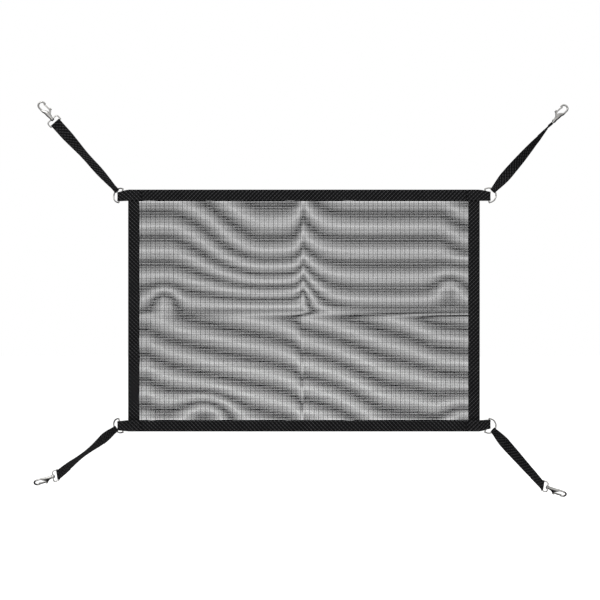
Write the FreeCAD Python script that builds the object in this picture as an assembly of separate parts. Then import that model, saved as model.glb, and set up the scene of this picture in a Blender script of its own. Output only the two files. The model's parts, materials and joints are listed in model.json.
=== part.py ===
import FreeCAD, Part

import math
import os

os.makedirs("parts", exist_ok=True)

# Hay net made of a bound mesh panel, hung by four webbing straps with swivel trigger snaps.
# The panel hangs upright in the XZ plane with its front towards -Y; the origin is its centre.

# ---- Driving dimensions, in millimetres and degrees ----
PANEL_WIDTH = 800.0
PANEL_HEIGHT = 550.0
WEBBING_WIDTH = 25.0
WEBBING_THICKNESS = 1.2

MESH_PLY_THICKNESS = 0.8
MESH_PLY_GAP = 0.3
MESH_TUCK = 17.0              # how far the mesh reaches into the binding
BINDING_GAP = 2.0             # room for both mesh plies inside the folded binding
BUTT_GAP = 0.2                # between an upright binding and the one across its end

TAB_TAIL = 30.0               # how far a corner tab's tails reach in over the binding
TAB_REACH = 24.5              # how far its loop stands out past the panel's edge
TAB_GAP = 4.5                 # height of the loop's opening

THREAD = 0.35                 # how far a line of sewing thread stands above the webbing
THREAD_WIDTH = 0.8
TIGHT_BUNCH = 12.0            # a strap bunched narrower than this opens out more slowly,
SLOW_FLARE = 2.6              # by this much
STRAP_THREAD_LIFT = 0.12       # clears the strap's twisted face
SEAM_INSET = 3.0              # from a webbing edge to its line of stitching

RING_WIRE = 3.0
RING_HALF = 16.5              # from the middle of the bar to the middle of an arm
RING_ARM = 5.0                # straight part between the bar and the round bow
RING_TILT = 18.0              # lean of the bar in its loose tab, towards the strap
RING_OUT = 17.2               # bar centre, out from the panel's edge
RING_DROP = 1.0               # bar centre, from the tab's middle towards the panel's middle

STRAP_LENGTH = 210.0          # from the ring's wire to the snap's eye bar
STRAP_DOUBLED = 55.0          # length of the sewn-back tail at each end
BASE_HOLE = 2.7               # radius of the hole round the ring's wire
BASE_OUTER = 4.5
EYE_HOLE = 1.85               # radius of the hole round the eye bar
EYE_OUTER = 3.05

EYE_WIRE = 3.0
EYE_HALF = 14.75              # from the middle of the eye bar to the middle of an arm
EYE_BAR = -14.6               # eye bar's place on the snap's axis; the collar starts at zero
EYE_CROSSBAR = -2.1
EYE_CORNER = 4.9
BOSS_RADIUS = 4.4
BOSS_LENGTH = 4.0
BOSS_BORE = 2.38

SHANK_RADIUS = 2.3
RIVET_HEAD_RADIUS = 4.0
RIVET_HEAD = 1.6
COLLAR_RADIUS = 3.9

HOOK_WIRE = 4.2
BOW_CENTRE = (36.6, 3.5)
BOW_RADIUS = 8.0
BOW_TIP = 2.0                 # straight end of the bow, back towards the gate
PIVOT = (9.0, 3.4)
PIN_RADIUS = 1.0
PIN_HALF = 3.6
SLOT_HALF = 1.75              # half width of the slot that the gate lies in
GATE_HALF = 1.5
HUB_RADIUS = 2.6
HUB_BORE = 1.08
SPRING_RADIUS = 1.45
SPRING_WIRE = 0.4
SPRING_PITCH = 0.44
SPRING_TURNS = 2.5
SPRING_LEG = 4.0
SPRING_LEG_END = -0.4          # height at which its leg ends, just over the slot's floor

# How each strap and its snap lie at rest. rise: angle of the strap above (+) or below (-) the
# horizontal; lean: out of the panel's plane, backwards; swing: of the ring about its bar;
# base: width that the webbing is bunched to on the ring; extra_twist: on top of the twist that
# joins ring and eye; late: above 1, the twist comes nearer to the hook; snap: direction of the
# snap above the horizontal, or None where it runs on in line with the strap at eye_bend;
# eye: a direction near the eye bar's; gate: a direction near the gate's side of the hook.
CORNERS = {
    "top_left": dict(side=-1, up=1, rise=47.8, lean=3.0, swing=35.0, base=10.0,
                     extra_twist=55.0, late=1.0, snap=None, eye_bend=3.0,
                     eye=(0.74, 0.0, 0.67), gate=(0.74, 0.0, 0.67)),
    "top_right": dict(side=1, up=1, rise=48.4, lean=10.0, swing=10.0, base=13.0,
                      extra_twist=0.0, late=1.6, snap=None, eye_bend=3.4,
                      eye=(0.0, 1.0, 0.0), gate=(-0.73, 0.0, 0.67)),
    "bottom_left": dict(side=-1, up=-1, rise=-38.3, lean=26.0, swing=35.0, base=13.0,
                        extra_twist=40.0, late=1.0, snap=-17.5, eye_bend=None,
                        eye=None, gate=(0.22, 0.70, -0.68)),
    "bottom_right": dict(side=1, up=-1, rise=-47.0, lean=26.0, swing=12.0, base=13.0,
                         extra_twist=0.0, late=1.0, snap=-20.0, eye_bend=None,
                         eye=None, gate=(-0.24, 0.70, -0.67)),
}

X_AXIS = FreeCAD.Vector(1, 0, 0)
Y_AXIS = FreeCAD.Vector(0, 1, 0)
Z_AXIS = FreeCAD.Vector(0, 0, 1)
EDGE_X = PANEL_WIDTH / 2
EDGE_Z = PANEL_HEIGHT / 2


# ---- Small helpers ----
def vec(x, y, z=0.0):
    return FreeCAD.Vector(x, y, z)


def unit(vector):
    result = FreeCAD.Vector(vector)
    result.normalize()
    return result


def turned(vector, axis, degrees):
    return FreeCAD.Rotation(axis, degrees).multVec(vector)


def square_to(vector, axis):
    """The part of a direction that is at right angles to the axis."""
    return unit(vector - axis * vector.dot(axis))


def placed(shape, origin, x_dir, y_dir):
    """Puts a shape made about the origin at a place, with its X and Y along two directions."""
    z_dir = x_dir.cross(y_dir)
    matrix = FreeCAD.Matrix(
        x_dir.x, y_dir.x, z_dir.x, origin.x,
        x_dir.y, y_dir.y, z_dir.y, origin.y,
        x_dir.z, y_dir.z, z_dir.z, origin.z,
        0, 0, 0, 1)
    result = shape.copy()
    result.Placement = FreeCAD.Placement(matrix)
    return result


def rod(start, end, radius):
    along = end - start
    return Part.makeCylinder(radius, along.Length, start, along)


def ball(centre, radius):
    return Part.makeSphere(radius, centre)


def bent_wire(centre, bend_radius, wire_radius, start_angle, sweep):
    """A round wire bent about Z: its section starts at an angle and sweeps on from there."""
    radial = turned(X_AXIS, Z_AXIS, start_angle)
    section = Part.makeCircle(wire_radius, centre + radial * bend_radius, radial.cross(Z_AXIS))
    return Part.Face(Part.Wire(section)).revolve(centre, Z_AXIS, sweep)


def joined(shapes):
    return shapes[0].fuse(shapes[1:]).removeSplitter()


def prism(points, bottom, height):
    """A flat outline in the XY plane, made solid from one height up."""
    corners = [vec(x, y, bottom) for x, y in points]
    outline = Part.makePolygon(corners + corners[:1])
    return Part.Face(outline).extrude(vec(0, 0, height))


def slab(low, high):
    size = high - low
    return Part.makeBox(size.x, size.y, size.z, low)


def export(name, shape):
    if not shape.isValid():
        raise ValueError(name + " is not a valid solid")
    shape.exportStep("parts/" + name + ".step")


# ---- Panel: two plies of mesh in a binding of folded webbing ----
def mesh_ply(side):
    inner = side * MESH_PLY_GAP / 2
    outer = side * (MESH_PLY_GAP / 2 + MESH_PLY_THICKNESS)
    half_x = EDGE_X - WEBBING_WIDTH + MESH_TUCK
    half_z = EDGE_Z - WEBBING_WIDTH + MESH_TUCK
    return slab(vec(-half_x, min(inner, outer), -half_z), vec(half_x, max(inner, outer), half_z))


def folded_strip(depth, gap, length):
    """Webbing folded in half along its middle: open towards -X, fold at X = 0, ending at
    -depth; the run is along Z, centred."""
    inner = gap / 2
    outer = inner + WEBBING_THICKNESS
    fold = -outer
    outside = Part.makeCylinder(outer, length, vec(fold, 0, -length / 2))
    outside = outside.fuse(slab(vec(-depth, -outer, -length / 2), vec(fold, outer, length / 2)))
    hollow = Part.makeCylinder(inner, length, vec(fold, 0, -length / 2))
    hollow = hollow.fuse(slab(vec(-depth, -inner, -length / 2), vec(fold, inner, length / 2)))
    return outside.cut(hollow).removeSplitter()


def binding_across(up):
    strip = folded_strip(WEBBING_WIDTH, BINDING_GAP, PANEL_WIDTH)
    return placed(strip, vec(0, 0, up * EDGE_Z), Z_AXIS * up, Y_AXIS)


def binding_upright(side):
    length = PANEL_HEIGHT - 2 * (WEBBING_WIDTH + BUTT_GAP)
    strip = folded_strip(WEBBING_WIDTH, BINDING_GAP, length)
    return placed(strip, vec(side * EDGE_X, 0, 0), X_AXIS * side, Y_AXIS)


def corner_tab(side, up):
    strip = folded_strip(TAB_REACH + TAB_TAIL, TAB_GAP, WEBBING_WIDTH)
    middle = up * (EDGE_Z - WEBBING_WIDTH / 2)
    return placed(strip, vec(side * (EDGE_X + TAB_REACH), 0, middle), X_AXIS * side, Y_AXIS)


def thread_line(start, end, surface, face):
    """A line of stitching on a webbing face, from start to end in the XZ plane."""
    along = end - start
    line = slab(vec(0, 0, -THREAD_WIDTH / 2), vec(along.Length, THREAD, THREAD_WIDTH / 2))
    base = FreeCAD.Vector(start.x, face * surface, start.z)
    return placed(line, base, unit(along), Y_AXIS * face)


def binding_stitches():
    surface = BINDING_GAP / 2 + WEBBING_THICKNESS
    inset = WEBBING_WIDTH - SEAM_INSET
    x = EDGE_X - inset
    z = EDGE_Z - inset
    clear = 2 * THREAD_WIDTH
    tab_clear = TAB_TAIL + clear
    upright_end = EDGE_Z - WEBBING_WIDTH - clear
    lines = []
    for face in (-1, 1):
        for sign in (-1, 1):
            across = EDGE_X - tab_clear
            lines.append(thread_line(vec(-across, 0, sign * z), vec(across, 0, sign * z), surface, face))
            lines.append(thread_line(vec(sign * x, 0, -upright_end), vec(sign * x, 0, upright_end),
                                     surface, face))
    return Part.makeCompound(lines)


def tab_stitches():
    """A box of stitching with a cross in it, on both tails of each tab."""
    surface = TAB_GAP / 2 + WEBBING_THICKNESS
    half = WEBBING_WIDTH / 2 - SEAM_INSET
    lines = []
    for face in (-1, 1):
        for side in (-1, 1):
            for up in (-1, 1):
                x = side * (EDGE_X - WEBBING_WIDTH / 2)
                z = up * (EDGE_Z - WEBBING_WIDTH / 2)
                cross = [
                    thread_line(vec(x - half, 0, z - half), vec(x + half, 0, z + half), surface, face),
                    thread_line(vec(x - half, 0, z + half), vec(x + half, 0, z - half), surface, face),
                ]
                for offset in (-half, half):
                    cross.append(thread_line(vec(x - half, 0, z + offset),
                                             vec(x + half, 0, z + offset), surface, face))
                    cross.append(thread_line(vec(x + offset, 0, z - half),
                                             vec(x + offset, 0, z + half), surface, face))
                lines.append(joined(cross))
    return Part.makeCompound(lines)


# ---- D-ring: bar along Y, bow towards +X ----
def d_ring():
    wire = RING_WIRE / 2
    pieces = [rod(vec(0, -RING_HALF), vec(0, RING_HALF), wire)]
    for end in (-RING_HALF, RING_HALF):
        pieces.append(ball(vec(0, end), wire))
        pieces.append(rod(vec(0, end), vec(RING_ARM, end), wire))
    pieces.append(bent_wire(vec(RING_ARM, 0), RING_HALF, wire, -90, 180))
    return joined(pieces)


# ---- Strap: a webbing with a loop at each end, twisted along its length ----
def strap_section(pose, distance):
    """Width, thickness and width direction of the strap at a distance from the ring."""
    share = distance / STRAP_LENGTH
    flare = min(1.0, distance / (STRAP_DOUBLED * pose["flare"]))
    width = pose["base"] + (WEBBING_WIDTH - pose["base"]) * math.sin(flare * math.pi / 2)
    single = STRAP_DOUBLED < distance < STRAP_LENGTH - STRAP_DOUBLED
    doubled = 2 * WEBBING_THICKNESS + 0.2
    thickness = WEBBING_THICKNESS if single else doubled
    if distance < BASE_OUTER:
        thickness = 2 * BASE_HOLE
    twist = pose["twist"] * share ** pose["late"]
    twist += pose["extra_twist"] * math.sin(math.pi * share) ** 2
    return width, thickness, turned(pose["tangent"], pose["along"], twist)


def strap_outline(pose, distance):
    width, thickness, across = strap_section(pose, distance)
    face = pose["along"].cross(across)
    centre = pose["loop"] + pose["along"] * distance
    corners = []
    for a, b in ((-1, -1), (1, -1), (1, 1), (-1, 1)):
        corners.append(centre + across * (a * width / 2) + face * (b * thickness / 2))
    return Part.makePolygon(corners + corners[:1])


def strap_stations():
    """Distances along the strap where its section is set."""
    start = (BASE_HOLE + BASE_OUTER) / 2
    finish = STRAP_LENGTH - (EYE_HOLE + EYE_OUTER) / 2
    step = 0.5
    near = [start, BASE_OUTER + 4.0, 16.0, 25.0, 40.0, STRAP_DOUBLED]
    middle = [STRAP_DOUBLED + step, 75.0, 95.0, 115.0, 135.0, STRAP_LENGTH - STRAP_DOUBLED - step]
    far = [STRAP_LENGTH - STRAP_DOUBLED, 172.0, 190.0, finish]
    return near + middle + far


def strap(pose):
    webbing = Part.makeLoft([strap_outline(pose, d) for d in strap_stations()], True, True)
    eye_bar = pose["loop"] + pose["along"] * STRAP_LENGTH
    tangent = pose["tangent"]
    across = pose["eye"]
    base_start = pose["loop"] - tangent * (pose["base"] / 2)
    eye_start = eye_bar - across * (WEBBING_WIDTH / 2)
    base = Part.makeCylinder(BASE_OUTER, pose["base"], base_start, tangent)
    end = Part.makeCylinder(EYE_OUTER, WEBBING_WIDTH, eye_start, across)
    base_hole = Part.makeCylinder(BASE_HOLE, WEBBING_WIDTH, pose["loop"] - tangent * (WEBBING_WIDTH / 2), tangent)
    eye_hole = Part.makeCylinder(EYE_HOLE, 2 * WEBBING_WIDTH, eye_bar - across * WEBBING_WIDTH, across)
    return webbing.fuse([base, end]).cut([base_hole, eye_hole]).removeSplitter()


def strap_stitches(pose):
    """Short bars of thread across both faces, where each loop's tail is sewn down."""
    bars = []
    for distance in (24.0, 50.0, STRAP_LENGTH - 50.0, STRAP_LENGTH - 14.0):
        width, thickness, across = strap_section(pose, distance)
        face_dir = pose["along"].cross(across)
        centre = pose["loop"] + pose["along"] * distance
        half = width / 2 - SEAM_INSET
        for face in (-1, 1):
            bar = slab(vec(-THREAD_WIDTH / 2, -half, 0), vec(THREAD_WIDTH / 2, half, THREAD))
            outward = face_dir * face
            base = centre + outward * (thickness / 2 + STRAP_THREAD_LIFT)
            bars.append(placed(bar, base, across.cross(outward), across))
    return Part.makeCompound(bars)


# ---- Swivel trigger snap: X is its axis, the gate is on the +Y side, Z is across it ----
def snap_eye():
    """The cast eye: the bar that the strap goes round, and the bored boss of the swivel."""
    wire = EYE_WIRE / 2
    shoulder = EYE_CROSSBAR - EYE_CORNER
    inner = EYE_HALF - EYE_CORNER
    pieces = [rod(vec(EYE_BAR, -EYE_HALF), vec(EYE_BAR, EYE_HALF), wire)]
    pieces.append(rod(vec(EYE_CROSSBAR, -inner), vec(EYE_CROSSBAR, inner), wire))
    for side in (-1, 1):
        pieces.append(ball(vec(EYE_BAR, side * EYE_HALF), wire))
        pieces.append(rod(vec(EYE_BAR, side * EYE_HALF), vec(shoulder, side * EYE_HALF), wire))
        start = 0 if side > 0 else -90
        pieces.append(bent_wire(vec(shoulder, side * inner), EYE_CORNER, wire, start, 90))
    middle = vec(EYE_CROSSBAR - BOSS_LENGTH / 2, 0)
    boss = Part.makeCylinder(BOSS_RADIUS, BOSS_LENGTH, middle, X_AXIS)
    boss = boss.makeFillet(0.6, [edge for edge in boss.Edges if edge.Closed])
    bore = Part.makeCylinder(BOSS_BORE, 3 * BOSS_LENGTH, middle - X_AXIS * BOSS_LENGTH, X_AXIS)
    return joined(pieces + [boss]).cut(bore)


def swivel_rivet():
    head_face = EYE_CROSSBAR - BOSS_LENGTH / 2 - 0.3
    head = Part.makeCylinder(RIVET_HEAD_RADIUS, RIVET_HEAD, vec(head_face - RIVET_HEAD, 0), X_AXIS)
    rim = [edge for edge in head.Edges if edge.Closed and edge.CenterOfMass.x < head_face - 0.1]
    head = head.makeFillet(0.9, rim)
    shank = rod(vec(head_face, 0), vec(4.0, 0), SHANK_RADIUS)
    return joined([head, shank])


def hook_section(along, centre, half_q, half_n):
    middle = vec(along, centre)
    ellipse = Part.Ellipse(middle + vec(0, half_q), middle + vec(0, 0, half_n), middle)
    return Part.Wire(ellipse.toShape())


def snap_hook():
    """Collar, slotted housing, spine and bow, cast in one piece."""
    wire = HOOK_WIRE / 2
    centre = vec(*BOW_CENTRE)
    spine_end = centre - Y_AXIS * BOW_RADIUS
    spine_start = vec(22.0, spine_end.y)
    tip = centre + Y_AXIS * BOW_RADIUS
    tip_end = tip - X_AXIS * BOW_TIP
    bow_top = centre + X_AXIS * BOW_RADIUS
    path = Part.Wire([
        Part.LineSegment(spine_start, spine_end).toShape(),
        Part.Arc(spine_end, bow_top, tip).toShape(),
        Part.LineSegment(tip, tip_end).toShape(),
    ])
    section = Part.Wire(Part.makeCircle(wire, spine_start, X_AXIS))
    bow = path.makePipeShell([section], True, False)
    housing = Part.makeLoft([
        hook_section(2.2, 0.0, 3.6, 3.5),
        hook_section(7.0, 0.6, 5.0, 3.7),
        hook_section(12.0, 0.8, 5.6, 3.8),
        hook_section(17.0, 0.4, 5.5, 3.6),
        hook_section(22.5, -1.7, 4.2, 3.1),
        hook_section(28.0, spine_end.y, 2.4, 2.3),
    ], True, False)
    collar = Part.makeCylinder(COLLAR_RADIUS, 3.0, vec(0.2, 0), X_AXIS)
    collar = collar.makeFillet(0.6, [edge for edge in collar.Edges if edge.Closed])
    body = housing.fuse(bow).fuse(collar).fuse(ball(tip_end, wire)).removeSplitter()
    slot = slab(vec(PIVOT[0] - HUB_RADIUS - 0.4, -1.2, -SLOT_HALF), vec(30.0, 9.0, SLOT_HALF))
    socket = rod(vec(-1.0, 0), vec(4.0, 0), SHANK_RADIUS)
    pin_hole = rod(vec(*PIVOT, -6.0), vec(*PIVOT, 6.0), PIN_RADIUS)
    return body.cut(slot).cut(socket).cut(pin_hole)


def gate_pin():
    pin = rod(vec(*PIVOT, -PIN_HALF), vec(*PIVOT, PIN_HALF), PIN_RADIUS)
    return pin.makeFillet(0.4, [edge for edge in pin.Edges if edge.Closed])


def gate_spring():
    """Torsion spring beside the gate's hub, with one leg down to the floor of the slot."""
    wire = SPRING_WIRE / 2
    low = vec(*PIVOT, 0.4)
    helix = Part.makeHelix(SPRING_PITCH, SPRING_PITCH * SPRING_TURNS, SPRING_RADIUS)
    helix.translate(low)
    start = low + X_AXIS * SPRING_RADIUS
    section = Part.Wire(Part.makeCircle(wire, start, Y_AXIS))
    coil = Part.Wire(helix.Edges).makePipeShell([section], True, True)
    leg_end = vec(start.x + SPRING_LEG, SPRING_LEG_END, low.z)
    leg = rod(start, leg_end, wire)
    return joined([coil, ball(start, wire), leg])


def snap_gate():
    """Spring-loaded gate: hub on the pin, arm along the mouth, ribbed thumb tab, nose."""
    arm = prism([
        (8.2, 5.6), (12.8, 10.2), (15.0, 11.6), (19.5, 12.0), (30.2, 11.6), (32.0, 10.0),
        (35.1, 9.0), (35.9, 8.0), (35.2, 6.9), (29.0, 8.0), (18.5, 8.6), (13.0, 5.4),
        (11.0, 2.2),
    ], -GATE_HALF, 2 * GATE_HALF)
    hub = rod(vec(*PIVOT, -GATE_HALF), vec(*PIVOT, GATE_HALF), HUB_RADIUS)
    tab = slab(vec(14.6, 11.0, -2.9), vec(19.8, 14.2, 2.9))
    tab = tab.makeFillet(0.8, tab.Edges)
    ribs = [rod(vec(x, 14.1, -2.3), vec(x, 14.1, 2.3), 0.5) for x in (15.8, 17.2, 18.6)]
    gate = joined([arm, hub, tab] + ribs)
    bore = rod(vec(*PIVOT, -5.0), vec(*PIVOT, 5.0), HUB_BORE)
    pocket = rod(vec(*PIVOT, 0.1), vec(*PIVOT, 5.0), SPRING_RADIUS + 0.6)
    leg_room = slab(vec(PIVOT[0], -3.0, 0.1), vec(16.0, PIVOT[1] + 0.6, 5.0))
    return gate.cut([bore, pocket, leg_room])


# ---- How each corner's parts lie ----
def corner_pose(corner):
    """Places and directions of the ring, strap, eye and hook of one corner at rest."""
    side = corner["side"]
    up = corner["up"]
    tilt = math.radians(RING_TILT)
    bar_dir = vec(-side * math.sin(tilt), 0, up * math.cos(tilt))
    flat_dir = vec(side * math.cos(tilt), 0, up * math.sin(tilt))
    swing = math.radians(corner["swing"])
    bow_dir = flat_dir * math.cos(swing) + Y_AXIS * math.sin(swing)
    bar = vec(side * (EDGE_X + RING_OUT), 0, up * (EDGE_Z - WEBBING_WIDTH / 2 - RING_DROP))

    rise = math.radians(corner["rise"])
    lean = math.radians(corner["lean"])
    along = vec(side * math.cos(rise) * math.cos(lean), math.sin(lean), math.sin(rise) * math.cos(lean))
    # the strap slides along the bow to where the wire is square to its pull
    angle = math.atan2(along.dot(bar_dir), along.dot(bow_dir))
    radial = bow_dir * math.cos(angle) + bar_dir * math.sin(angle)
    tangent = bar_dir * math.cos(angle) - bow_dir * math.sin(angle)
    sagitta = RING_HALF - math.sqrt(RING_HALF ** 2 - (corner["base"] / 2) ** 2)
    loop = bar + bow_dir * RING_ARM + radial * (RING_HALF - sagitta / 2)

    if corner["snap"] is None:
        eye = square_to(vec(*corner["eye"]), along)
        snap = turned(along, eye, corner["eye_bend"])
    else:
        snap_angle = math.radians(corner["snap"])
        snap = vec(side * math.cos(snap_angle), 0, math.sin(snap_angle))
        eye = unit(along.cross(snap))
    if eye.dot(tangent) < 0:
        eye = eye * -1
    twist = math.degrees(math.atan2(along.dot(tangent.cross(eye)), tangent.dot(eye)))
    eye_bar = loop + along * STRAP_LENGTH
    return dict(
        bar=bar, bar_dir=bar_dir, bow_dir=bow_dir, loop=loop, tangent=tangent, along=along,
        eye=eye, snap=snap, eye_bar=eye_bar, swivel=eye_bar - snap * EYE_BAR,
        gate=square_to(vec(*corner["gate"]), snap), twist=twist, base=corner["base"],
        extra_twist=corner["extra_twist"], late=corner["late"],
        flare=SLOW_FLARE if corner["base"] < TIGHT_BUNCH else 1.0)


# ---- Export ----
def main():
    export("mesh_ply_front", mesh_ply(-1))
    export("mesh_ply_back", mesh_ply(1))
    for name, up in (("top", 1), ("bottom", -1)):
        export("binding_" + name, binding_across(up))
    for name, side in (("left", -1), ("right", 1)):
        export("binding_" + name, binding_upright(side))
    export("binding_stitches", binding_stitches())
    export("tab_stitches", tab_stitches())
    snap_parts = {
        "swivel_rivet_": swivel_rivet(),
        "snap_hook_": snap_hook(),
        "gate_pin_": gate_pin(),
        "gate_spring_": gate_spring(),
        "snap_gate_": snap_gate(),
    }
    ring = d_ring()
    eye = snap_eye()
    for name, corner in CORNERS.items():
        pose = corner_pose(corner)
        export("corner_tab_" + name, corner_tab(corner["side"], corner["up"]))
        export("d_ring_" + name, placed(ring, pose["bar"], pose["bow_dir"], pose["bar_dir"]))
        export("strap_" + name, strap(pose))
        export("strap_stitches_" + name, strap_stitches(pose))
        export("snap_eye_" + name, placed(eye, pose["swivel"], pose["snap"], pose["eye"]))
        for part, shape in snap_parts.items():
            export(part + name, placed(shape, pose["swivel"], pose["snap"], pose["gate"]))


main()
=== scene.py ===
import json
import math

import bmesh
import bpy
from mathutils import Matrix, Vector


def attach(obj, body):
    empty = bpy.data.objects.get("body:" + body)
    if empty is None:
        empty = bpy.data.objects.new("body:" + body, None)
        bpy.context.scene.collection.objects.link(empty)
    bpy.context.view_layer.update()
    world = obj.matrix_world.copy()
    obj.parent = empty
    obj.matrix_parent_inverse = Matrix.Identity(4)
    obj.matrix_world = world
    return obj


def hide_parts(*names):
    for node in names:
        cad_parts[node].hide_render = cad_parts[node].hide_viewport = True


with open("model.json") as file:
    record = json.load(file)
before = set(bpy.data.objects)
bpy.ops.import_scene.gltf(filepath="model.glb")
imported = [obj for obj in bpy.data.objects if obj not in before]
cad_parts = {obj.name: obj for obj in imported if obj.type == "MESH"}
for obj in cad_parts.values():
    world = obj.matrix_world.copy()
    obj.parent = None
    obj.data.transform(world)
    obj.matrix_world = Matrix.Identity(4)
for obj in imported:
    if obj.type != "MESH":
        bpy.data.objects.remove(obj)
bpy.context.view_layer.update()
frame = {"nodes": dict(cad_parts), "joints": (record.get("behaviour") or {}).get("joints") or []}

# ---- Stage, light and camera ----
# The net hangs in front of a plain white sweep under soft light from all sides, and is seen
# square on from about three metres.

PANEL_CENTRE = Vector((0.0, 0.0, 0.0))
CAMERA_PLACE = Vector((-0.009, -3.0, 0.024))
CAMERA_LENS = 79.0
SENSOR = 36.0
ROOM_DARK = (0.012, 0.012, 0.014, 1.0)
ROOM_BRIGHT = (0.9, 0.9, 0.9, 1.0)
LIT_ABOVE = (0.15, 0.9)       # how steeply up the room starts to be bright, and is fully so
LIT_IN_FRONT = (-0.35, -0.98)
WHITE = (1.0, 1.0, 1.0, 1.0)
FLOOR_TONES = ((0.94, 0.94, 0.94, 1.0), (0.97, 0.97, 0.97, 1.0))
FLOOR_SIZE = 30.0
FLOOR_PLACE = (0.0, 0.0, -0.75)
FLOOR_GLOW = 0.45


def new_object(name, data):
    """Puts a mesh, a lamp or a camera into the scene."""
    piece = bpy.data.objects.new(name, data)
    bpy.context.scene.collection.objects.link(piece)
    return piece


def node_material(name):
    """A new material with its node tree, and its shader."""
    material = bpy.data.materials.new(name)
    material.use_nodes = True
    return material, material.node_tree, material.node_tree.nodes["Principled BSDF"]


def linked(tree, kind, inputs=None, **settings):
    """Adds a node, sets its options, and fills its inputs with values or other nodes' outputs."""
    node = tree.nodes.new(kind)
    for key, value in settings.items():
        setattr(node, key, value)
    for key, value in (inputs or {}).items():
        if isinstance(value, bpy.types.NodeSocket):
            tree.links.new(value, node.inputs[key])
        else:
            node.inputs[key].default_value = value
    return node


def add_floor():
    """The white sweep under and behind the net, which neither metal nor cloth picks up."""
    bpy.ops.object.select_all(action="DESELECT")
    bpy.ops.mesh.primitive_plane_add(size=FLOOR_SIZE, location=FLOOR_PLACE)
    floor = bpy.context.object
    floor.name = "studio_floor"
    material, tree, shader = node_material("studio_white")
    coordinates = linked(tree, "ShaderNodeTexCoord")
    grain = linked(tree, "ShaderNodeTexNoise", {"Vector": coordinates.outputs["Object"], "Scale": 3.0})
    tone = linked(tree, "ShaderNodeMix", {"Factor": grain.outputs["Fac"]}, data_type="RGBA")
    tone.inputs["A"].default_value, tone.inputs["B"].default_value = FLOOR_TONES
    tree.links.new(tone.outputs["Result"], shader.inputs["Base Color"])
    shader.inputs["Roughness"].default_value = 0.9
    shader.inputs["Emission Color"].default_value = WHITE
    shader.inputs["Emission Strength"].default_value = FLOOR_GLOW
    floor.data.materials.append(material)
    floor.visible_glossy = False
    floor.visible_diffuse = False


def add_light(name, place, size, power, mirrored):
    """A round softbox aimed at the panel; mirrored says whether the metal shows it."""
    data = bpy.data.lights.new(name, "AREA")
    data.shape = "DISK"
    data.size = size
    data.energy = power
    lamp = new_object(name, data)
    lamp.location = place
    lamp.rotation_euler = (PANEL_CENTRE - place).to_track_quat("-Z", "Y").to_euler()
    lamp.visible_camera = False
    lamp.visible_glossy = mirrored


def add_camera():
    """The camera looks level along Y."""
    data = bpy.data.cameras.new("camera")
    data.lens = CAMERA_LENS
    data.sensor_width = SENSOR
    camera = new_object("camera", data)
    camera.location = CAMERA_PLACE
    camera.rotation_euler = (math.radians(90.0), 0.0, 0.0)
    bpy.context.scene.camera = camera


def add_world():
    """White where it is seen; for the rest bright above and in front and dark at the sides,
    which is what the bright metal mirrors."""
    world = bpy.data.worlds.new("white_room")
    world.use_nodes = True
    tree = world.node_tree
    direction = linked(tree, "ShaderNodeSeparateXYZ",
                       {"Vector": linked(tree, "ShaderNodeTexCoord").outputs["Generated"]})
    lit = []
    for axis, (start, full) in (("Z", LIT_ABOVE), ("Y", LIT_IN_FRONT)):
        share = linked(tree, "ShaderNodeMapRange", {"Value": direction.outputs[axis],
                                                    "From Min": start, "From Max": full},
                       interpolation_type="SMOOTHSTEP")
        lit.append(share.outputs["Result"])
    brighter = linked(tree, "ShaderNodeMath", {0: lit[0], 1: lit[1]}, operation="MAXIMUM")
    room = linked(tree, "ShaderNodeMix", {"Factor": brighter.outputs["Value"]}, data_type="RGBA")
    room.inputs["A"].default_value = ROOM_DARK
    room.inputs["B"].default_value = ROOM_BRIGHT
    seen = linked(tree, "ShaderNodeLightPath")
    mixed = linked(tree, "ShaderNodeMix", {"Factor": seen.outputs["Is Camera Ray"]},
                   data_type="RGBA")
    tree.links.new(room.outputs["Result"], mixed.inputs["A"])
    mixed.inputs["B"].default_value = WHITE
    tree.links.new(mixed.outputs["Result"], tree.nodes["Background"].inputs["Color"])
    bpy.context.scene.world = world
    bpy.context.scene.view_settings.view_transform = "Standard"
    bpy.context.scene.view_settings.look = "None"


add_world()
add_camera()
add_floor()
add_light("key_softbox", Vector((-1.6, -2.6, 2.2)), 1.6, 30.0, True)
add_light("fill_softbox", Vector((2.2, -2.2, 0.6)), 1.8, 18.0, False)
add_light("back_softbox", Vector((0.6, 2.6, 1.8)), 1.8, 26.0, False)


# ---- Mesh panel, front and back ply ----
# Two plies of open mesh in black coated polyester yarn, stretched together in the binding.
# The yarns are welded where they cross. The back ply was cut with its cross yarns a little
# wider apart and dragged at the folds, so light and dark bands show where the plies fall in
# and out of step.

EDGE_X = 0.400
EDGE_Z = 0.275
WEBBING_WIDTH = 0.025
MESH_HALF_X = 0.392
MESH_HALF_Z = 0.267
WARP_PITCH = 0.002585
WARP_WIDTHS = (0.00110, 0.00023, 0.00045, 0.00023)     # four yarns that repeat
WEFT_PITCH = 0.0026
WEFT_WIDTH = 0.00110
YARN_HEIGHT = 0.00042
PLY_OFFSET = 0.00052
WEFT_RISE = 0.00012
BAND_SPACING = 0.057
FOLD_HEIGHT = -0.008          # the panel was stored folded in four: one fold lies here
FOLD_SIDE = -0.002            # and the other here
DRAG = 2.03                   # how many bands the cloth is dragged down by the upright fold
DRAG_HEIGHT = 0.171           # and how far above the level fold it is dragged most
DRAG_COMES_ON = (-0.318, -0.086)
SETTLED = 2.05                # bands that stay dragged at the right
CUSP = 0.75                   # bands that stand up along the upright fold
CUSP_LEFT = 0.0115
CUSP_RIGHT = 0.030
UPPER_START = 5.0             # bands counted at the level fold: above it,
LOWER_LEFT = 5.4              # below it at the left,
LOWER_RIGHT = 3.35            # and below it, right of the upright fold
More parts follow.
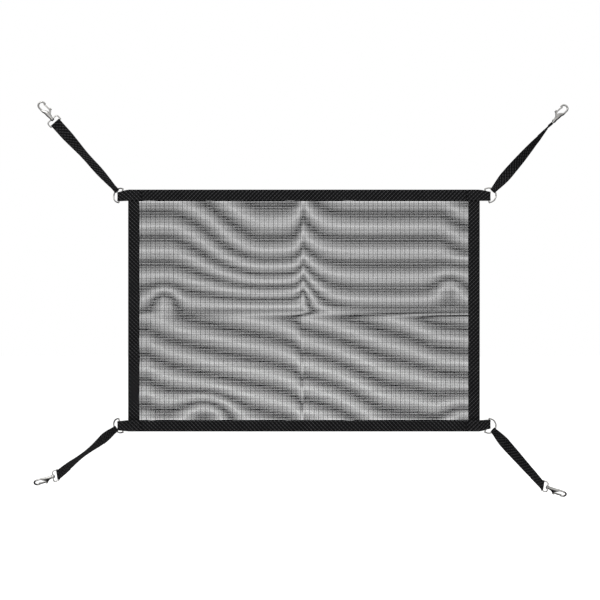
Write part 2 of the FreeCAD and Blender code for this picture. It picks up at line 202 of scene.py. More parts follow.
# places near the panel's two sides where the bands swirl round a pulled spot, and how far
SWIRLS = ((-0.318, 0.022, 0.95), (0.332, 0.052, 0.70))
SWIRL_SIZE = (0.030, 0.032)
CREASE_UPRIGHT = 0.0028
CREASE_LEVEL = 0.0024
BELLY = 0.0030
RIPPLE = 0.0012
WARP_STEPS = 22
WEFT_STEPS = 62
CROWDING = 1.45               # a weft's points lie closer together near the upright fold
SETTLING = 6                  # rounds of working out where a dragged weft lies


def ramp(value, low, high):
    """0 below low, 1 above high, smooth between."""
    share = min(1.0, max(0.0, (value - low) / (high - low)))
    return share * share * (3.0 - 2.0 * share)


def bump(x, z, at_x, at_z, size_x, size_z):
    """1 at a place, fading out over its size each way."""
    return math.exp(-((x - at_x) / size_x) ** 2 - ((z - at_z) / size_z) ** 2)


def bands_above(x, height):
    """Bands counted in the half above the level fold: flat at the left, dragged down towards
    the upright fold, where they stand up in a cusp, and flat again at the right."""
    dragged = -DRAG * math.sin(math.pi / 2 * min(1.0, height / DRAG_HEIGHT)) ** 1.25
    dragged += 3.7 * max(0.0, height - DRAG_HEIGHT)
    side = x - FOLD_SIDE
    if side < 0.0:
        drag = dragged * ramp(x, *DRAG_COMES_ON)
        cusp = math.exp(side / CUSP_LEFT)
    else:
        settled = -SETTLED + 0.7 * math.exp(-height / 0.018)
        drag = settled + (dragged - settled) * math.exp(-side / 0.034)
        drag -= 0.5 * ramp(x, 0.305, 0.374) * ramp(height, 0.100, 0.150)
        cusp = math.exp(-side / CUSP_RIGHT)
    return UPPER_START + drag + CUSP * cusp * ramp(height, 0.007, 0.045) - height / BAND_SPACING


def bands_below(x, depth):
    """Bands counted in the half below the level fold, which slope down to the right."""
    side = x - FOLD_SIDE
    if side < 0.0:
        across = min(1.0, max(0.0, (x + 0.356) / 0.324))
        swell = 1.25 * bump(x, depth, -0.222, 0.228, 0.060, 0.045)
        joining = 0.6 * math.exp(side / 0.018)
        return LOWER_LEFT - 1.45 * across ** 0.7 + swell - joining + depth / BAND_SPACING
    count = LOWER_RIGHT - 1.95 * side / 0.372 - 0.18 * bump(x, 0.0, 0.303, 0.0, 0.050, 1.0)
    slope = 19.1 - 2.2 * bump(x, 0.0, 0.185, 0.0, 0.080, 1.0)
    gathered = 0.8 * (max(0.0, depth - 0.137) / 0.091) ** 2 * ramp(x, 0.290, 0.372)
    return count + slope * depth + gathered


def band_count(x, z):
    """How many yarns the back ply's weft is out of step with the front ply's at a place."""
    height = z - FOLD_HEIGHT
    upper = bands_above(x, max(0.0, height))
    lower = bands_below(x, max(0.0, -height))
    count = lower + (upper - lower) * ramp(height, -0.010, 0.010)
    for at_x, at_z, swirl in SWIRLS:
        count += swirl * bump(x, z, at_x, at_z, *SWIRL_SIZE)
    return count


def panel_wave(x, z):
    """How far the stretched mesh stands out of its plane: low folds and a slight belly."""
    inside = (1.0 - (x / MESH_HALF_X) ** 4) * (1.0 - (z / MESH_HALF_Z) ** 4)
    crease = CREASE_UPRIGHT * math.exp(-abs(x - FOLD_SIDE) / 0.030)
    crease -= CREASE_LEVEL * math.exp(-abs(z - FOLD_HEIGHT) / 0.028)
    belly = BELLY * math.sin(5.1 * x + 0.6) * math.cos(4.3 * z)
    belly += RIPPLE * math.sin(16.0 * x - 9.0 * z)
    return max(0.0, inside) * (crease + belly)


def add_yarn(vertices, faces, points, sideways, widths):
    """A flat yarn with four sides along its points; sideways is the axis that it is wide in."""
    first = len(vertices)
    for (x, y, z), width in zip(points, widths):
        for across, out in ((-1, -1), (1, -1), (1, 1), (-1, 1)):
            place = [x, y + out * YARN_HEIGHT / 2, z]
            place[sideways] += across * width / 2
            vertices.append(tuple(place))
    outline = []
    for ring in range(len(points) - 1):
        for corner in range(4):
            a = first + 4 * ring + corner
            b = first + 4 * ring + (corner + 1) % 4
            outline.append((a, b, b + 4, a + 4))
    last = first + 4 * (len(points) - 1)
    outline.append((first + 3, first + 2, first + 1, first))
    outline.append((last, last + 1, last + 2, last + 3))
    # a yarn across the panel goes round the other way, so that its faces too look outwards
    faces.extend(outline if sideways == 0 else [face[::-1] for face in outline])


def beat(z):
    """How much wider the cross yarns are beaten flat at a height on the cloth."""
    close_beat = 0.00021 * math.cos(math.tau * z / 0.0061)
    wide_beat = 0.00006 * math.cos(math.tau * z / 0.0141)
    return close_beat + wide_beat


def mesh_ply(name, side, dragged):
    """One ply: side is -1 at the front and 1 at the back, dragged if the folds pull its wefts."""
    vertices, faces = [], []
    base = side * PLY_OFFSET
    warps = int(2 * MESH_HALF_X / WARP_PITCH) - 1
    heights = [MESH_HALF_Z * (2.0 * step / WARP_STEPS - 1.0) for step in range(WARP_STEPS + 1)]
    for index in range(warps + 1):
        x = (index - warps / 2) * WARP_PITCH
        points = [(x, base + panel_wave(x, z), z) for z in heights]
        width = WARP_WIDTHS[index % len(WARP_WIDTHS)]
        add_yarn(vertices, faces, points, 0, [width] * len(points))
    shares = [2.0 * step / WEFT_STEPS - 1.0 for step in range(WEFT_STEPS + 1)]
    places = [MESH_HALF_X * math.copysign(abs(share) ** CROWDING, share) for share in shares]
    wefts = int(2 * MESH_HALF_Z / WEFT_PITCH)
    for index in range(-wefts, wefts):
        middle = index * WEFT_PITCH
        points = []
        for x in places:
            z = middle
            if dragged:
                for _ in range(SETTLING):
                    z = middle - WEFT_PITCH * (band_count(x, z) + 0.5)
            points.append((x, base + side * WEFT_RISE + panel_wave(x, z), z))
        if max(abs(z) for _, _, z in points) < MESH_HALF_Z:
            widths = [WEFT_WIDTH + beat(z) for _, _, z in points]
            add_yarn(vertices, faces, points, 2, widths)
    mesh = bpy.data.meshes.new(name)
    mesh.from_pydata(vertices, [], faces)
    mesh.materials.append(mesh_yarn)
    piece = new_object(name, mesh)
    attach(piece, "net")
    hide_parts("mesh_ply_front" if side < 0 else "mesh_ply_back")


def grain(tree, scale, detail):
    """Fine unevenness through the piece, from 0 to 1."""
    coordinates = linked(tree, "ShaderNodeTexCoord").outputs["Object"]
    noise = linked(tree, "ShaderNodeTexNoise", {"Vector": coordinates, "Scale": scale,
                                                "Detail": detail})
    return noise.outputs["Fac"]


def colour_between(tree, shader, share, dark, light, low=0.0, high=1.0):
    """Colours a piece from dark, where the share is low, to light, where it is high."""
    tone = linked(tree, "ShaderNodeValToRGB", {"Fac": share})
    for stop, colour, position in zip(tone.color_ramp.elements, (dark, light), (low, high)):
        stop.color = colour
        stop.position = position
    tree.links.new(tone.outputs["Color"], shader.inputs["Base Color"])


def roughen(tree, shader, share, smoothest, roughest):
    """Lets a piece's gloss change between two roughnesses with the share."""
    rough = linked(tree, "ShaderNodeMapRange", {"Value": share, "To Min": smoothest,
                                                "To Max": roughest})
    tree.links.new(rough.outputs["Result"], shader.inputs["Roughness"])


def emboss(tree, shader, height, strength, depth):
    """Relief too fine to be modelled, down to a depth in metres."""
    relief = linked(tree, "ShaderNodeBump", {"Height": height, "Strength": strength,
                                             "Distance": depth})
    tree.links.new(relief.outputs["Normal"], shader.inputs["Normal"])


def yarn_material():
    """Black coated yarn: slightly uneven in tone, with a dull sheen where it is rubbed."""
    material, tree, shader = node_material("mesh_yarn")
    coating = grain(tree, 900.0, 3.0)
    dye = grain(tree, 14.0, 2.0)
    both = linked(tree, "ShaderNodeMath", {0: coating, 1: dye}, operation="MULTIPLY")
    colour_between(tree, shader, both.outputs["Value"], (0.006, 0.006, 0.007, 1.0),
                   (0.030, 0.030, 0.033, 1.0), high=0.55)
    roughen(tree, shader, coating, 0.45, 0.75)
    emboss(tree, shader, coating, 0.25, 0.0001)
    shader.inputs["Specular IOR Level"].default_value = 0.2
    return material


mesh_yarn = yarn_material()
mesh_ply("front_mesh", -1, False)
mesh_ply("back_mesh", 1, True)


# ---- Binding ----
# Flat black polypropylene webbing, 25 mm each side, folded over the mesh's edge and sewn
# through. The lengths along the top and bottom lap over the ends of the upright ones.

WEBBING_THICKNESS = 0.0012
BINDING_GAP = 0.0020
SELVAGE = 0.0016              # width over which the webbing's edge is eased
PICK = 0.0046                 # length of one up-and-down of the weave along the webbing
END = 0.0023                  # width of one of its rows of yarn
DIAMOND = 0.0092              # repeat of its lighter yarns
RIB_HEIGHT = 0.00035
SEAM_INSET = 0.003
LAP_CLEARANCE = 0.0002        # between an upright length and the one that laps its end
BINDING_STEP = 0.012          # between the places where the binding's run is worked out
WANDERS = ((0.00055, 41.0), (0.0004, 97.0))     # how far and how often its cut edge wanders
PUFF = 0.00018                # how far its faces stand up and sink along it
PUFF_WAVE = 260.0
FOLD_FLATS = 9                # steps along each flat side of a folded webbing
FOLD_TURN = 8                 # and round its fold
PLEATS = 1.5                  # folds across a webbing where it is bunched


def webbing_material(name, dark, light):
    """Woven webbing: rows of yarn along it, each half a pick out of step with the next. Its
    pattern follows the piece's own map, in metres along and across."""
    material, tree, shader = node_material(name)
    along_map = linked(tree, "ShaderNodeUVMap", uv_map="weave")
    split = linked(tree, "ShaderNodeSeparateXYZ", {"Vector": along_map.outputs["UV"]})

    def math_node(operation, first, second=None):
        """The result of a sum on one or two values."""
        values = {0: first}
        if second is not None:
            values[1] = second
        return linked(tree, "ShaderNodeMath", values, operation=operation).outputs["Value"]

    row = math_node("DIVIDE", split.outputs["Y"], END)
    stagger = math_node("MULTIPLY", math_node("FLOOR", row), 0.5)
    pick = math_node("ADD", math_node("DIVIDE", split.outputs["X"], PICK), stagger)
    yarn_round = math_node("SINE", math_node("MULTIPLY", math_node("FRACT", row), math.pi))
    float_round = math_node("SINE", math_node("MULTIPLY", pick, math.tau))
    raised = linked(tree, "ShaderNodeMapRange", {"Value": float_round, "From Min": -0.55,
                                                 "From Max": 0.75}).outputs["Result"]
    cell = math_node("MULTIPLY", math_node("POWER", yarn_round, 0.5), raised)
    fibre = grain(tree, 1600.0, 3.0)
    worn = grain(tree, 26.0, 4.0)
    # a lighter yarn every so often makes small diamonds that show from afar
    repeats = [math_node("SINE", math_node("MULTIPLY", split.outputs[axis], math.tau / DIAMOND))
               for axis in ("X", "Y")]
    diamond = math_node("MULTIPLY_ADD", math_node("MULTIPLY", *repeats), 0.5)
    diamond.node.inputs[2].default_value = 0.5
    cell = math_node("MULTIPLY", cell, math_node("ADD", math_node("POWER", diamond, 3.0), 0.03))
    mottle = math_node("MULTIPLY", cell, math_node("ADD", worn, 0.45))
    tone = linked(tree, "ShaderNodeMix", {"Factor": mottle}, data_type="RGBA")
    tone.inputs["A"].default_value = dark
    tone.inputs["B"].default_value = light
    tree.links.new(tone.outputs["Result"], shader.inputs["Base Color"])
    roughen(tree, shader, worn, 0.62, 0.86)
    height = math_node("ADD", raised, math_node("MULTIPLY", fibre, 0.35))
    emboss(tree, shader, height, 0.9, RIB_HEIGHT)
    shader.inputs["Specular IOR Level"].default_value = 0.06
    shader.inputs["Sheen Weight"].default_value = 0.02
    shader.inputs["Sheen Roughness"].default_value = 0.5
    return material


def strip_section(width):
    """Outline of a webbing with eased edges, as (across, out) points."""
    edge = min(SELVAGE, width / 4)
    half = width / 2
    thin = WEBBING_THICKNESS / 2
    eased = half - edge * 0.35
    outline = [(-half + edge, thin), (-half / 3, thin), (half / 3, thin), (half - edge, thin),
               (eased, thin * 0.92), (half, thin * 0.35),
               (half, -thin * 0.35), (eased, -thin * 0.92)]
    return outline + [(-across, -out) for across, out in outline]


def pleat_wave(across, width):
    """How the cloth of a bunched webbing stands in and out across it, from -1 to 1."""
    return math.cos(across / width * math.tau * PLEATS)


def heading_at(points, index):
    """Direction of a line of points at one of them."""
    before = Vector(points[max(0, index - 1)])
    after = Vector(points[min(len(points) - 1, index + 1)])
    return (after - before).normalized()


def skin_rings(maker, weave, rings, along, around):
    """Joins rings of corners into a smooth skin, mapped by distances along and round it."""
    count = len(rings[0])
    for index in range(len(rings) - 1):
        for corner in range(count):
            nearby = (corner + 1) % count
            face = maker.faces.new((rings[index][corner], rings[index][nearby],
                                    rings[index + 1][nearby], rings[index + 1][corner]))
            face.smooth = True
            spots = ((along[index], around[corner]), (along[index], around[nearby]),
                     (along[index + 1], around[nearby]), (along[index + 1], around[corner]))
            for loop, spot in zip(face.loops, spots):
                loop[weave].uv = spot


def webbing_piece(name, maker, material, body, node):
    """Makes the built skin into a piece whose faces look outwards."""
    bmesh.ops.recalc_face_normals(maker, faces=maker.faces)
    mesh = bpy.data.meshes.new(name)
    maker.to_mesh(mesh)
    maker.free()
    mesh.materials.append(material)
    piece = new_object(name, mesh)
    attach(piece, body)
    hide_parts(node)


def webbing_strip(name, stations, material, body, node):
    """A webbing through a list of stations: place, width, the directions across and out of it,
    and a pleat, which waves its middle in and out where it is bunched."""
    maker = bmesh.new()
    weave = maker.loops.layers.uv.new("weave")
    section = strip_section(WEBBING_WIDTH)
    rings, travelled, last = [], [], stations[0][0]
    for place, width, across, out, pleat in stations:
        travelled.append((travelled[-1] if travelled else 0.0) + (place - last).length)
        last = place
        ring = []
        for a, o in strip_section(width):
            lift = o + pleat * pleat_wave(a, width)
            ring.append(maker.verts.new(place + across * a + out * lift))
        rings.append(ring)
    skin_rings(maker, weave, rings, travelled, [a for a, _ in section])
    for end in (0, -1):
        face = maker.faces.new(rings[end])
        for loop, (a, o) in zip(face.loops, section):
            loop[weave].uv = (travelled[end] + o, a)
    webbing_piece(name, maker, material, body, node)


def folded_path(depth, gap):
    """The folded webbing seen on end: from one cut edge round the fold to the other, as
    (in from the fold, out of the panel) points along the middle of its thickness."""
    level = (gap + WEBBING_THICKNESS) / 2
    points = []
    for step in range(FOLD_FLATS):
        points.append((depth - (depth - level) * step / FOLD_FLATS, -level))
    for step in range(FOLD_TURN + 1):
        angle = math.pi * step / FOLD_TURN
        points.append((level - level * math.sin(angle), -level * math.cos(angle)))
    back = [(inward, -out) for inward, out in points[:FOLD_FLATS]]
    return points + back[::-1]


def binding_outline():
    """The binding's cross-section: its points, and how far round the webbing each one is."""
    middle = folded_path(WEBBING_WIDTH, BINDING_GAP)
    outer, inner, spans = [], [], []
    for index, point in enumerate(middle):
        step = heading_at(middle, index)
        half = Vector((step.y, -step.x)) * (WEBBING_THICKNESS / 2)
        outer.append(Vector(point) + half)
        inner.append(Vector(point) - half)
        before = Vector(middle[max(0, index - 1)])
        spans.append((spans[-1] if spans else 0.0) + (Vector(point) - before).length)
    return outer + inner[::-1], spans + spans[::-1]


def binding_strip(name, node, start, end, inward):
    """A binding length from start to end, both on the panel's outer edge."""
    length = (end - start).length
    front = Vector((0.0, 1.0, 0.0))
    maker = bmesh.new()
    weave = maker.loops.layers.uv.new("weave")
    outline, around = binding_outline()
    steps = int(length / BINDING_STEP)
    distances = [length * step / steps for step in range(steps + 1)]
    (slow, slow_wave), (quick, quick_wave) = WANDERS
    rings = []
    for distance in distances:
        place = start + (end - start) * (distance / length)
        wander = slow * math.sin(distance * slow_wave + start.x * 9.0)
        wander += quick * math.sin(distance * quick_wave)
        puff = PUFF * math.sin(distance * PUFF_WAVE + start.z * 5.0)
        ring = []
        for depth, out in outline:
            shift = wander * min(1.0, depth / WEBBING_WIDTH)
            lift = puff * math.copysign(min(1.0, abs(out) / (BINDING_GAP * 0.8)), out)
            ring.append(maker.verts.new(place + inward * (depth + shift) + front * (out + lift)))
        rings.append(ring)
    skin_rings(maker, weave, rings, distances, around)
    last = len(outline) - 1
    for ring in (rings[0], rings[-1]):
        for corner in range(len(outline) // 2 - 1):
            maker.faces.new((ring[corner], ring[corner + 1], ring[last - 1 - corner],
                             ring[last - corner]))
    webbing_piece(name, maker, binding_webbing, "net", node)


binding_webbing = webbing_material("binding_webbing", (0.0025, 0.0025, 0.003, 1.0),
                                   (0.180, 0.180, 0.186, 1.0))
UPRIGHT_END = EDGE_Z - WEBBING_WIDTH - LAP_CLEARANCE
for label, up in (("top", 1.0), ("bottom", -1.0)):
    binding_strip(label + "_edge_webbing", "binding_" + label, Vector((-EDGE_X, 0.0, up * EDGE_Z)),
                  Vector((EDGE_X, 0.0, up * EDGE_Z)), Vector((0.0, 0.0, -up)))
for label, side in (("left", -1.0), ("right", 1.0)):
    binding_strip(label + "_edge_webbing", "binding_" + label,
                  Vector((side * EDGE_X, 0.0, -UPRIGHT_END)),
                  Vector((side * EDGE_X, 0.0, UPRIGHT_END)), Vector((-side, 0.0, 0.0)))


# ---- Corner tabs ----
# A short length of the same webbing at each corner, folded round the bar of a ring, with its
# two tails lying on the front and back of the binding and sewn through both.

TAB_TAIL = 0.030              # of each tail, inwards from the panel's side
TAB_REACH = 0.0245            # of the fold, outwards from it
TAB_GAP = 0.0045
TAB_GATHER = 0.17             # share of its width lost where the ring gathers it
TAB_PLEAT = 0.0005
# how far the strap's pull has dragged each tab's fold up or down
TAB_SAG = {"top_left": -0.0030, "top_right": -0.0020, "bottom_left": 0.0, "bottom_right": 0.0035}
CORNERS = {"top_left": (-1.0, 1.0), "top_right": (1.0, 1.0),
           "bottom_left": (-1.0, -1.0), "bottom_right": (1.0, -1.0)}


def corner_tab(name, side, up):
    """The tab's webbing runs in from the front tail's end, round the fold, and back."""
    fold = Vector((side * (EDGE_X + TAB_REACH), 0.0, up * (EDGE_Z - WEBBING_WIDTH / 2)))
    profile = folded_path(TAB_REACH + TAB_TAIL, TAB_GAP)
    stations = []
    for index, (inward, out) in enumerate(profile):
        step = heading_at(profile, index)
        gathered = 1.0 - ramp(inward, 0.0, TAB_REACH)
        place = fold + Vector((-side * inward, out, TAB_SAG[name] * gathered))
        outward = Vector((-side * step.y, -step.x, 0.0))
        width = WEBBING_WIDTH * (1.0 - TAB_GATHER * gathered)
        stations.append((place, width, Vector((0.0, 0.0, 1.0)), outward, TAB_PLEAT * gathered))
    webbing_strip("tab_" + name, stations, binding_webbing, "net", "corner_tab_" + name)


for label, (side, up) in CORNERS.items():
    corner_tab(label, side, up)


# ---- Stitching of the panel ----
# Bonded black nylon thread in lockstitch, 3 mm a stitch: one row along the inner edge of the
# binding on both faces, and a box with a cross in it on both tails of each tab.

STITCH = 0.0030
STITCH_GAP = 0.0007
THREAD_HALF = 0.00034
THREAD_STANDS = 0.35          # share of its half thickness by which a stitch's middle stands up
THREAD_DIPS = 0.9             # and by which its ends dip


def thread_material():
    """Black bonded thread, a little glossier than the webbing, with its twist as a ridge."""
    material, tree, shader = node_material("sewing_thread")
    coordinates = linked(tree, "ShaderNodeTexCoord").outputs["Object"]
    twist = linked(tree, "ShaderNodeTexWave", {"Vector": coordinates, "Scale": 520.0,
                                               "Distortion": 1.5},
                   bands_direction="DIAGONAL").outputs["Fac"]
    colour_between(tree, shader, twist, (0.010, 0.010, 0.011, 1.0), (0.050, 0.050, 0.053, 1.0))
    emboss(tree, shader, twist, 0.5, 0.0001)
    shader.inputs["Roughness"].default_value = 0.42
    return material


def one_stitch():
    """A single stitch along X, on the plane Z = 0: a round thread, fullest in its middle, whose
    ends dip into the webbing."""
    half = (STITCH - STITCH_GAP) / 2
    bpy.ops.object.select_all(action="DESELECT")
    bpy.ops.mesh.primitive_uv_sphere_add(segments=7, ring_count=6, radius=1.0,
                                         rotation=(0.0, math.pi / 2, 0.0),
                                         scale=(THREAD_HALF, THREAD_HALF, half))
    stitch = bpy.context.object
    bpy.ops.object.transform_apply(location=True, rotation=True, scale=True)
    bpy.ops.object.mode_set(mode="EDIT")
    bpy.ops.mesh.select_all(action="DESELECT")
    shape = bmesh.from_edit_mesh(stitch.data)
    for corner in shape.verts:
        corner.select = abs(corner.co.x) > STITCH * 0.3
    shape.select_flush(True)
    bmesh.update_edit_mesh(stitch.data)
    bpy.ops.transform.translate(value=(0.0, 0.0, -THREAD_HALF * THREAD_DIPS))
    bpy.ops.mesh.select_all(action="SELECT")
    bpy.ops.mesh.faces_shade_smooth()
    bpy.ops.object.mode_set(mode="OBJECT")
    mesh = stitch.data
    bpy.data.objects.remove(stitch)
    return mesh


def add_stitch_row(seam, start, end, outward):
    """Copies the stitch in a row from start to end, on a face that looks outward."""
    points, faces = seam
    count = max(1, round((end - start).length / STITCH))
    step = (end - start) / count
    along = step.normalized()
    across = outward.cross(along).normalized()
    up = along.cross(across)
    for index in range(count):
        middle = start + step * (index + 0.5) + outward * (THREAD_HALF * THREAD_STANDS)
        first = len(points)
        for corner in stitch_mesh.vertices:
            x, y, z = corner.co
            points.append(middle + along * x + across * y + up * z)
        for face in stitch_mesh.polygons:
            faces.append(tuple(first + corner for corner in face.vertices))


def stitched_piece(name, seam, body, node):
    """All the stitches of a seam as one piece."""
    mesh = bpy.data.meshes.new(name)
    mesh.from_pydata(seam[0], [], seam[1])
    mesh.polygons.foreach_set("use_smooth", [True] * len(mesh.polygons))
    mesh.materials.append(sewing_thread)
    piece = new_object(name, mesh)
    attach(piece, body)
    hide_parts(node)


def box_and_cross(seam, centre, half, face, surface):
    """A square of stitching with a cross in it, on the front (-1) or back (1) face of a tab."""
    outward = Vector((0.0, face, 0.0))
    corners = []
    for a, b in ((-1, -1), (1, -1), (1, 1), (-1, 1)):
        corners.append(centre + Vector((a * half, face * surface, b * half)))
    for index in range(4):
        add_stitch_row(seam, corners[index], corners[(index + 1) % 4], outward)
    add_stitch_row(seam, corners[0], corners[2], outward)
    add_stitch_row(seam, corners[1], corners[3], outward)


sewing_thread = thread_material()
stitch_mesh = one_stitch()

BINDING_SURFACE = BINDING_GAP / 2 + WEBBING_THICKNESS
seam = ([], [])
row_x = EDGE_X - WEBBING_WIDTH + SEAM_INSET
row_z = EDGE_Z - WEBBING_WIDTH + SEAM_INSET
tab_end = EDGE_X - TAB_TAIL
for face in (-1.0, 1.0):
    outward = Vector((0.0, face, 0.0))
    level = face * BINDING_SURFACE
    for sign in (-1.0, 1.0):
        add_stitch_row(seam, Vector((-tab_end, level, sign * row_z)),
                       Vector((tab_end, level, sign * row_z)), outward)
        add_stitch_row(seam, Vector((sign * row_x, level, -row_z + 2 * SEAM_INSET)),
                       Vector((sign * row_x, level, row_z - 2 * SEAM_INSET)), outward)
stitched_piece("edge_seam", seam, "net", "binding_stitches")

tab_seam = ([], [])
box_half = WEBBING_WIDTH / 2 - SEAM_INSET
for side, up in CORNERS.values():
    centre = Vector((side * (EDGE_X - WEBBING_WIDTH / 2), 0.0, up * (EDGE_Z - WEBBING_WIDTH / 2)))
    for face in (-1.0, 1.0):
        box_and_cross(tab_seam, centre, box_half, face, TAB_GAP / 2 + WEBBING_THICKNESS)
stitched_piece("tab_seam", tab_seam, "net", "tab_stitches")


# ---- Straps ----
# One length of 25 mm webbing each. It is bunched through the ring, comes back on itself and is
# sewn down; its other end goes round the snap's eye bar and is sewn the same way. Between the
# two it hangs with a twist.

STRAP_LENGTH = 0.210          # from the ring's wire to the snap's eye bar
STRAP_TAIL = 0.046
RING_END = 0.010              # from the ring's wire to where the two plies meet
EYE_END = 0.006               # and from the eye bar
RING_LOOP = 0.0036            # from the ring's wire to the middle of the webbing round it
EYE_LOOP = 0.00245
LOOP_OPENING = 52.0           # degrees either way over which a loop is open to the strap
THROAT = 0.0055               # where the ring's loop narrows, from the wire
THROAT_SHARE = 0.62
PLY_STEP = 0.00062            # from the strap's middle to the middle of one of its two plies
PLY_MEETS = (0.004, 0.012)    # before and after a tail's end, the single strap moves to the middle
PLEAT = 0.0011
LOOP_PLEAT = 0.35             # share of the pleat that is left in the loop round the ring
RING_SEAM = 0.022             # from the ring's wire to the near side of the sewn box
EYE_SEAM = 0.012
TAIL_STEPS = 7
LOOP_STEPS = 8
STRAP_STEPS = 40
SEAM_PARTS = 4                # straight parts of a row that follows the twist

# how each strap's cloth differs: bunched width, extra twist in its middle, where the twist
# comes along it (above 1 is nearer to the snap), and the length over which it opens out
STRAP_LIE = {
    "top_left": (0.010, 55.0, 1.0, 0.143),
    "top_right": (0.013, 0.0, 1.6, 0.055),
    "bottom_left": (0.013, 40.0, 1.0, 0.055),
    "bottom_right": (0.013, 0.0, 1.0, 0.055),
}


def joint_named(name):
    """The frame's joint of that name."""
    return next(joint for joint in frame["joints"] if joint["name"] == name)


def strap_frame(corner):
    """Places and directions of a strap at rest, from the joints at its two ends."""
    ring = joint_named("strap_swing_" + corner)
    eye = joint_named("eye_fold_" + corner)
    loop = Vector(ring["pos_m"])
    eye_bar = Vector(eye["pos_m"])
    along = (eye_bar - loop).normalized()
    tangent = Vector(ring["axis"]).normalized()
    across = Vector(eye["axis"]).normalized()
    if across.dot(tangent) < 0.0:
        across = -across
    twist = math.atan2(along.dot(tangent.cross(across)), tangent.dot(across))
    return loop, along, tangent, twist


def strap_at(corner, distance):
    """Width of the strap and its directions across and out, at a distance from the ring."""
    loop, along, tangent, twist = strap_frame(corner)
    bunched, extra, late, opening = STRAP_LIE[corner]
    share = min(1.0, max(0.0, distance / STRAP_LENGTH))
    flare = math.sin(min(1.0, max(0.0, distance / opening)) * math.pi / 2)
    width = bunched + (WEBBING_WIDTH - bunched) * flare
    angle = twist * share ** late + math.radians(extra) * math.sin(math.pi * share) ** 2
    across = Matrix.Rotation(angle, 3, along) @ tangent
    return width, across, along.cross(across), 1.0 - flare


def loop_points(centre, radius, first_angle):
    """The webbing round a bar, turning backwards from an angle in degrees."""
    wrapped = 360.0 - 2 * LOOP_OPENING
    points = []
    for step in range(LOOP_STEPS + 1):
        angle = math.radians(first_angle - wrapped * step / LOOP_STEPS)
        points.append((centre + radius * math.cos(angle), radius * math.sin(angle)))
    return points


def strap_path():
    """The webbing's own line, as (along, out) points: from the tail sewn down by the ring,
    round the ring, along to the snap, round its eye bar, to the other tail."""
    eye_start = STRAP_LENGTH - EYE_END
    eye_tail = STRAP_LENGTH - STRAP_TAIL
    before, after = PLY_MEETS
    points = []
    for step in range(TAIL_STEPS + 1):
        points.append((STRAP_TAIL - (STRAP_TAIL - RING_END) * step / TAIL_STEPS, -PLY_STEP))
    points.append((THROAT, -RING_LOOP * THROAT_SHARE))
    points += loop_points(0.0, RING_LOOP, -LOOP_OPENING)
    points.append((THROAT, RING_LOOP * THROAT_SHARE))
    for step in range(STRAP_STEPS + 1):
        distance = RING_END + (eye_start - RING_END) * (step / STRAP_STEPS)
        by_ring = 1.0 - ramp(distance, STRAP_TAIL - before, STRAP_TAIL + after)
        by_eye = ramp(distance, eye_tail - after, eye_tail + before)
        points.append((distance, PLY_STEP * max(by_ring, by_eye)))
    points += loop_points(STRAP_LENGTH, EYE_LOOP, 180.0 - LOOP_OPENING)
    for step in range(TAIL_STEPS + 1):
        points.append((eye_start - (eye_start - eye_tail) * step / TAIL_STEPS, -PLY_STEP))
    return points


def strap_piece(corner):
    """The strap's webbing, swept along its path and twisted as it lies."""
    loop, along, _, _ = strap_frame(corner)
    path = strap_path()
    laid = [strap_at(corner, distance) for distance, _ in path]
    places = []
    for (distance, out), (_, _, face, _) in zip(path, laid):
        places.append(loop + along * distance + face * out)
    stations = []
    for index, (width, across, _, gathered) in enumerate(laid):
        outward = heading_at(places, index).cross(across).normalized()
        pleat = PLEAT * gathered
        if path[index][0] <= THROAT:
            pleat *= LOOP_PLEAT
        stations.append((places[index], width, across, outward, pleat))
    webbing_strip("webbing_strap_" + corner, stations, strap_webbing, "webbing_" + corner,
                  "strap_" + corner)


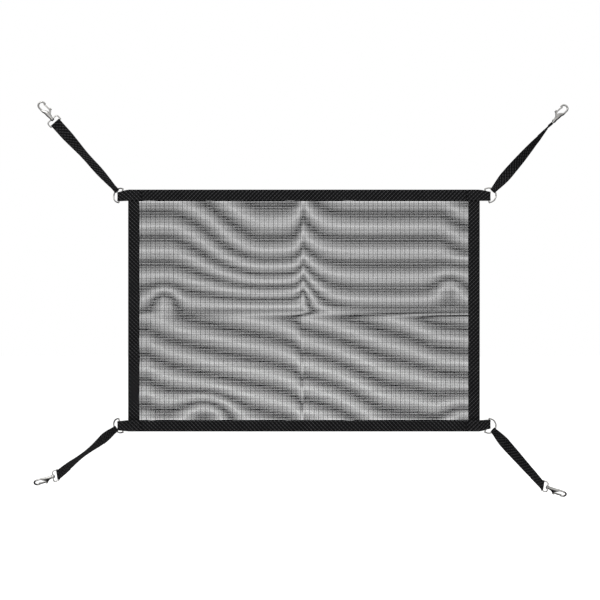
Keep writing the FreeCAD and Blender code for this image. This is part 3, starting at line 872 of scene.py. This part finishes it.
def strap_seam(corner):
    """A box with a cross on both faces of each sewn-back tail."""
    loop, along, _, _ = strap_frame(corner)
    seam_here = ([], [])

    def spot(distance, side, face):
        """A place on the strap's skin, at a side of the box, and the way it looks."""
        width, across, out, gathered = strap_at(corner, distance)
        reach = (width / 2 - SEAM_INSET) * side
        level = PLY_STEP + WEBBING_THICKNESS / 2
        level += PLEAT * gathered * pleat_wave(reach, width) * face
        return loop + along * distance + across * reach + out * (face * level), out * face

    def row(first, second, face):
        """A row of stitches in a few straight parts, to follow the twist."""
        ends = []
        for part in range(SEAM_PARTS + 1):
            share = part / SEAM_PARTS
            ends.append(spot(first[0] + (second[0] - first[0]) * share,
                             first[1] + (second[1] - first[1]) * share, face))
        for (here, outward), (there, _) in zip(ends, ends[1:]):
            add_stitch_row(seam_here, here, there, outward)

    for low, high in ((RING_SEAM, STRAP_TAIL - SEAM_INSET),
                      (STRAP_LENGTH - STRAP_TAIL + SEAM_INSET, STRAP_LENGTH - EYE_SEAM)):
        box = [(low, -1.0), (low, 1.0), (high, 1.0), (high, -1.0)]
        for face in (-1.0, 1.0):
            for index in range(4):
                row(box[index], box[(index + 1) % 4], face)
            row(box[0], box[2], face)
            row(box[1], box[3], face)
    stitched_piece("strap_seam_" + corner, seam_here, "webbing_" + corner, "strap_stitches_" + corner)


strap_webbing = webbing_material("strap_webbing", (0.0022, 0.0022, 0.0026, 1.0),
                                 (0.150, 0.150, 0.155, 1.0))
for label in CORNERS:
    strap_piece(label)
    strap_seam(label)


# ---- Rings and snaps ----
# D-rings of bent steel wire; snaps with a die-cast eye, hook and gate. All are bright nickel
# plated, a little uneven in tone and gloss from place to place.

def nickel_material(name, skin_scale, dull):
    """Nickel plate over slightly uneven metal; dull is how far it is from a mirror."""
    material, tree, shader = node_material(name)
    cloud = grain(tree, 60.0, 4.0)
    colour_between(tree, shader, cloud, (0.40, 0.395, 0.38, 1.0), (0.66, 0.65, 0.63, 1.0),
                   low=0.3, high=0.7)
    roughen(tree, shader, cloud, dull * 0.6, dull * 1.5)
    emboss(tree, shader, grain(tree, skin_scale, 2.0), 0.15, 0.0002)
    shader.inputs["Metallic"].default_value = 1.0
    return material


def steel_material():
    """Bare pin and spring steel: turned or drawn, so finely lined and duller than the plate."""
    material, tree, shader = node_material("bare_steel")
    coordinates = linked(tree, "ShaderNodeTexCoord").outputs["Object"]
    lines = linked(tree, "ShaderNodeTexWave", {"Vector": coordinates, "Scale": 900.0,
                                               "Distortion": 3.0}).outputs["Fac"]
    colour_between(tree, shader, lines, (0.30, 0.30, 0.31, 1.0), (0.48, 0.48, 0.49, 1.0))
    roughen(tree, shader, lines, 0.28, 0.42)
    shader.inputs["Metallic"].default_value = 1.0
    return material


def finish_node(node, material):
    """Gives a carried-over metal part its finish."""
    mesh = frame["nodes"][node].data
    mesh.materials.clear()
    mesh.materials.append(material)


nickel_wire = nickel_material("nickel_wire", 500.0, 0.14)
nickel_casting = nickel_material("nickel_casting", 320.0, 0.20)
bare_steel = steel_material()
for label in CORNERS:
    finish_node("d_ring_" + label, nickel_wire)
    for part in ("snap_eye_", "snap_hook_", "snap_gate_"):
        finish_node(part + label, nickel_casting)
    for part in ("swivel_rivet_", "gate_pin_", "gate_spring_"):
        finish_node(part + label, bare_steel)
